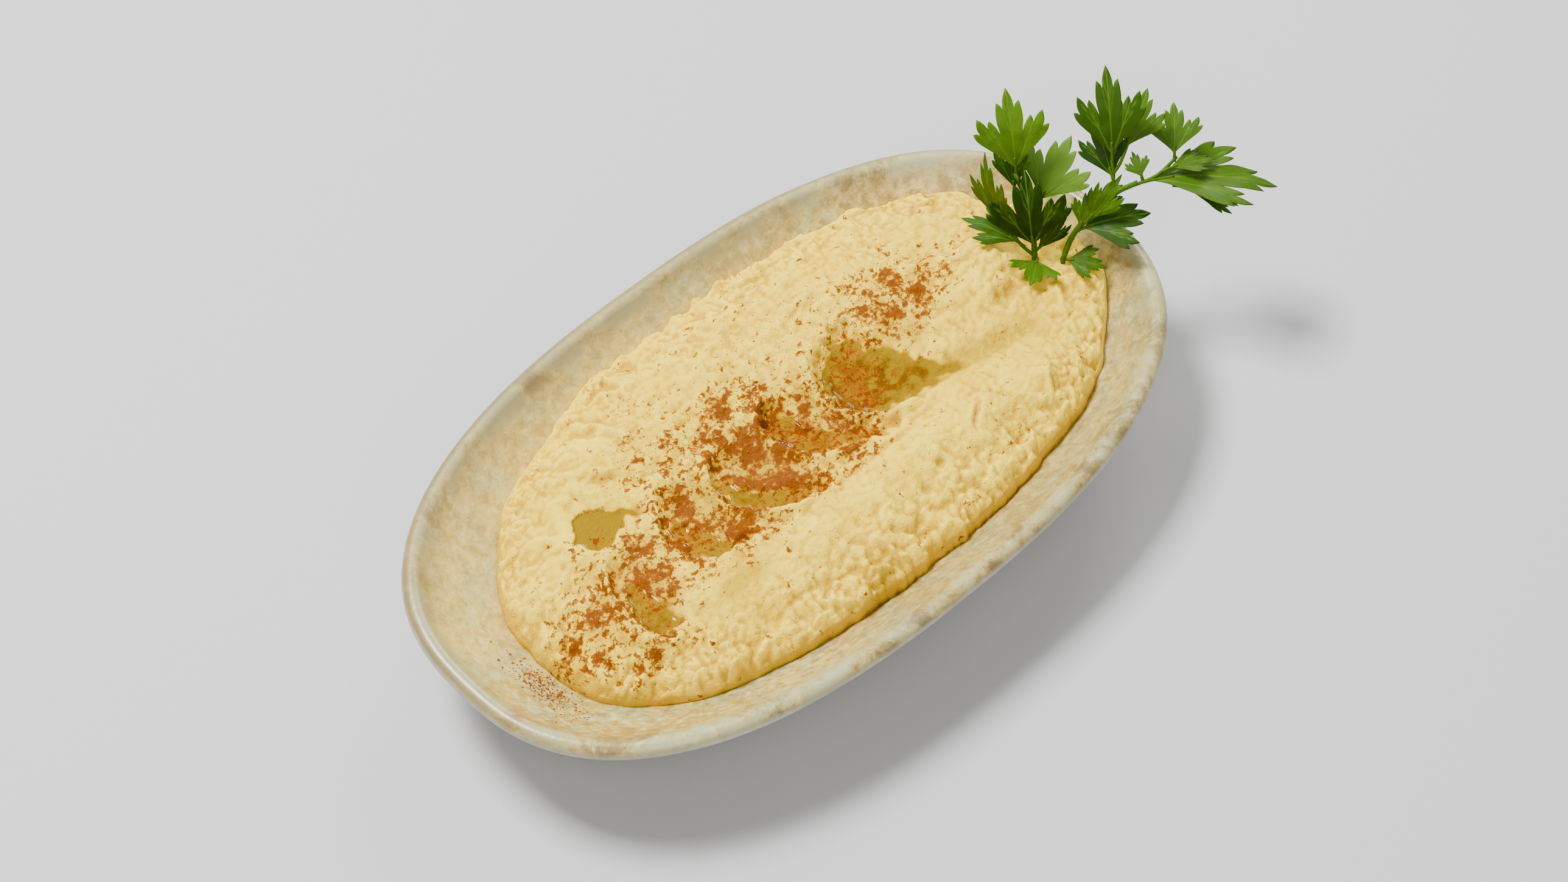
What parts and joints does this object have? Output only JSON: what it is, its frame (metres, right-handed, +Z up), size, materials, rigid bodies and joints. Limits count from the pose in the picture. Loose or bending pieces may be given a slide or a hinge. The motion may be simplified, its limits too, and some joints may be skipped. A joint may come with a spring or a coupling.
{
  "type": "hummus in an oval dish",
  "caption": "Oval stoneware dish filled with spooned hummus, topped with olive oil, paprika and sprigs of flat parsley.",
  "frame": {"origin": "centre of the dish's flat foot, on the surface that it stands on", "axes": "+X along the dish's long axis towards the parsley, +Z up out of the dish"},
  "size_m": [0.2741, 0.1384, 0.0842],
  "materials": {
    "stoneware": "satin reactive glaze, beige with pale mint, cream and tan mottling",
    "hummus": "moist creamy paste with fine grain and soft gloss",
    "olive_oil": "clear yellow-green oil, glossy",
    "paprika": "fine orange-brown powder, partly soaked with oil",
    "parsley": "fresh green leaf with paler veins, satin"
  },
  "bodies": {
    "root": {"dish": "stoneware", "hummus": "hummus", "oil_pool_large": "olive_oil", "oil_pool_middle": "olive_oil", "oil_pool_low": "olive_oil", "oil_pool_side": "olive_oil", "parsley_sprig_left": "parsley", "parsley_sprig_right": "parsley"}
  },
  "joints": []
}
